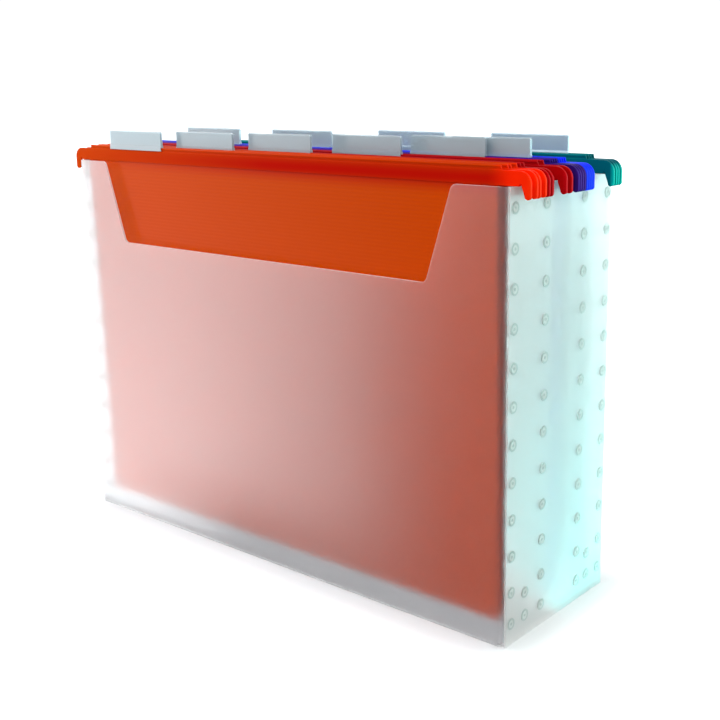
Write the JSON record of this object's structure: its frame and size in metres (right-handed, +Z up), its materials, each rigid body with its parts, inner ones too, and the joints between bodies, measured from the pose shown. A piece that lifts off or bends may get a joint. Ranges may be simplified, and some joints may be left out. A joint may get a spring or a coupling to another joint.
{
  "type": "desktop hanging file organizer",
  "caption": "Open-topped box of folded frosted sheet with a cut-out front; coloured hanging files hook over its side walls and carry sliding label tabs.",
  "frame": {"origin": "middle of the box's underside, on the surface it stands on", "axes": "+X to the right along the front, +Y from the cut-out front to the back, +Z up"},
  "size_m": [0.355, 0.102, 0.2556],
  "materials": {
    "frosted_sheet": "frosted translucent polypropylene sheet",
    "weld_mark": "melted ring of a spot weld",
    "clear_tab": "clear moulded label holder",
    "label_insert": "uncoated white paper",
    "orange_sheet": "embossed polypropylene sheet",
    "orange_rail": "moulded, satin",
    "red_sheet": "embossed polypropylene sheet",
    "red_rail": "moulded, satin",
    "purple_sheet": "embossed polypropylene sheet",
    "purple_rail": "moulded, satin",
    "blue_sheet": "embossed polypropylene sheet",
    "blue_rail": "moulded, satin",
    "green_sheet": "embossed polypropylene sheet",
    "green_rail": "moulded, satin"
  },
  "bodies": {
    "box": {"box_wrap": "frosted_sheet", "left_side_panel": "frosted_sheet", "right_side_panel": "frosted_sheet", "left_spot_welds": "weld_mark", "right_spot_welds": "weld_mark"},
    "orange_1": {"orange_1_back_rail": "orange_rail", "orange_1_back_leaf": "orange_sheet"},
    "orange_1_front": {"orange_1_front_leaf": "orange_sheet", "orange_1_front_rail": "orange_rail"},
    "orange_1_tab": {"orange_1_tab": "clear_tab"},
    "orange_2": {"orange_2_back_rail": "orange_rail", "orange_2_back_leaf": "orange_sheet"},
    "orange_2_front": {"orange_2_front_leaf": "orange_sheet", "orange_2_front_rail": "orange_rail"},
    "orange_2_tab": {"orange_2_tab": "clear_tab"},
    "red_1": {"red_1_back_rail": "red_rail", "red_1_back_leaf": "red_sheet", "red_1_front_leaf": "red_sheet", "red_1_front_rail": "red_rail"},
    "red_1_tab": {"red_1_tab": "clear_tab"},
    "red_2": {"red_2_back_rail": "red_rail", "red_2_back_leaf": "red_sheet"},
    "red_2_front": {"red_2_front_leaf": "red_sheet", "red_2_front_rail": "red_rail"},
    "red_2_tab": {"red_2_tab": "clear_tab"},
    "purple_1": {"purple_1_back_rail": "purple_rail", "purple_1_back_leaf": "purple_sheet", "purple_1_front_leaf": "purple_sheet", "purple_1_front_rail": "purple_rail"},
    "purple_1_tab": {"purple_1_tab": "clear_tab"},
    "purple_2": {"purple_2_back_rail": "purple_rail", "purple_2_back_leaf": "purple_sheet", "purple_2_front_leaf": "purple_sheet", "purple_2_front_rail": "purple_rail"},
    "purple_2_tab": {"purple_2_tab": "clear_tab"},
    "blue_1": {"blue_1_back_rail": "blue_rail", "blue_1_back_leaf": "blue_sheet", "blue_1_front_leaf": "blue_sheet", "blue_1_front_rail": "blue_rail"},
    "blue_1_tab": {"blue_1_tab": "clear_tab"},
    "blue_2": {"blue_2_back_rail": "blue_rail", "blue_2_back_leaf": "blue_sheet", "blue_2_front_leaf": "blue_sheet", "blue_2_front_rail": "blue_rail"},
    "blue_2_tab": {"blue_2_tab": "clear_tab"},
    "green_1": {"green_1_back_rail": "green_rail", "green_1_back_leaf": "green_sheet"},
    "green_1_front": {"green_1_front_leaf": "green_sheet", "green_1_front_rail": "green_rail"},
    "green_1_tab": {"green_1_tab": "clear_tab"},
    "green_2": {"green_2_back_rail": "green_rail", "green_2_back_leaf": "green_sheet"},
    "green_2_front": {"green_2_front_leaf": "green_sheet", "green_2_front_rail": "green_rail"},
    "green_2_tab": {"green_2_tab": "clear_tab"}
  },
  "joints": [
    {"name": "orange_1_lift", "type": "slide", "parent": "box", "child": "orange_1", "axis": [0, 0, 1], "range_m": [0, 0.25]},
    {"name": "orange_1_mouth", "type": "hinge", "parent": "orange_1", "child": "orange_1_front", "pos_m": [0, -0.04055, 0.0099], "axis": [1, 0, 0], "range_deg": [-0.77, 0.75]},
    {"name": "orange_1_tab_slide", "type": "slide", "parent": "orange_1_front", "child": "orange_1_tab", "axis": [1, 0, 0], "range_m": [-0.0212, 0.2498]},
    {"name": "orange_2_lift", "type": "slide", "parent": "box", "child": "orange_2", "axis": [0, 0, 1], "range_m": [0, 0.25]},
    {"name": "orange_2_mouth", "type": "hinge", "parent": "orange_2", "child": "orange_2_front", "pos_m": [0, -0.03305, 0.0099], "axis": [1, 0, 0], "range_deg": [-0.623, 0.1]},
    {"name": "orange_2_tab_slide", "type": "slide", "parent": "orange_2_front", "child": "orange_2_tab", "axis": [1, 0, 0], "range_m": [-0.0765, 0.1945]},
    {"name": "red_1_lift", "type": "slide", "parent": "box", "child": "red_1", "axis": [0, 0, 1], "range_m": [0, 0.25]},
    {"name": "red_1_tab_slide", "type": "slide", "parent": "red_1", "child": "red_1_tab", "axis": [1, 0, 0], "range_m": [-0.1315, 0.1395]},
    {"name": "red_2_lift", "type": "slide", "parent": "box", "child": "red_2", "axis": [0, 0, 1], "range_m": [0, 0.25]},
    {"name": "red_2_mouth", "type": "hinge", "parent": "red_2", "child": "red_2_front", "pos_m": [0, -0.00905, 0.0099], "axis": [1, 0, 0], "range_deg": [-0.67, 2.44]},
    {"name": "red_2_tab_slide", "type": "slide", "parent": "red_2_front", "child": "red_2_tab", "axis": [1, 0, 0], "range_m": [-0.1842, 0.0868]},
    {"name": "purple_1_lift", "type": "slide", "parent": "box", "child": "purple_1", "axis": [0, 0, 1], "range_m": [0, 0.25]},
    {"name": "purple_1_tab_slide", "type": "slide", "parent": "purple_1", "child": "purple_1_tab", "axis": [1, 0, 0], "range_m": [-0.2319, 0.0391]},
    {"name": "purple_2_lift", "type": "slide", "parent": "box", "child": "purple_2", "axis": [0, 0, 1], "range_m": [0, 0.25]},
    {"name": "purple_2_tab_slide", "type": "slide", "parent": "purple_2", "child": "purple_2_tab", "axis": [1, 0, 0], "range_m": [-0.257, 0.014]},
    {"name": "blue_1_lift", "type": "slide", "parent": "box", "child": "blue_1", "axis": [0, 0, 1], "range_m": [0, 0.25]},
    {"name": "blue_1_tab_slide", "type": "slide", "parent": "blue_1", "child": "blue_1_tab", "axis": [1, 0, 0], "range_m": [-0.0355, 0.2355]},
    {"name": "blue_2_lift", "type": "slide", "parent": "box", "child": "blue_2", "axis": [0, 0, 1], "range_m": [0, 0.25]},
    {"name": "blue_2_tab_slide", "type": "slide", "parent": "blue_2", "child": "blue_2_tab", "axis": [1, 0, 0], "range_m": [-0.111, 0.16]},
    {"name": "green_1_lift", "type": "slide", "parent": "box", "child": "green_1", "axis": [0, 0, 1], "range_m": [0, 0.25]},
    {"name": "green_1_mouth", "type": "hinge", "parent": "green_1", "child": "green_1_front", "pos_m": [0, 0.03565, 0.0099], "axis": [1, 0, 0], "range_deg": [-0.12, 3.19]},
    {"name": "green_1_tab_slide", "type": "slide", "parent": "green_1_front", "child": "green_1_tab", "axis": [1, 0, 0], "range_m": [-0.1785, 0.0925]},
    {"name": "green_2_lift", "type": "slide", "parent": "box", "child": "green_2", "axis": [0, 0, 1], "range_m": [0, 0.25]},
    {"name": "green_2_mouth", "type": "hinge", "parent": "green_2", "child": "green_2_front", "pos_m": [0, 0.04075, 0.0099], "axis": [1, 0, 0], "range_deg": [-0.125, 0.025]},
    {"name": "green_2_tab_slide", "type": "slide", "parent": "green_2_front", "child": "green_2_tab", "axis": [1, 0, 0], "range_m": [-0.2575, 0.0135]}
  ]
}
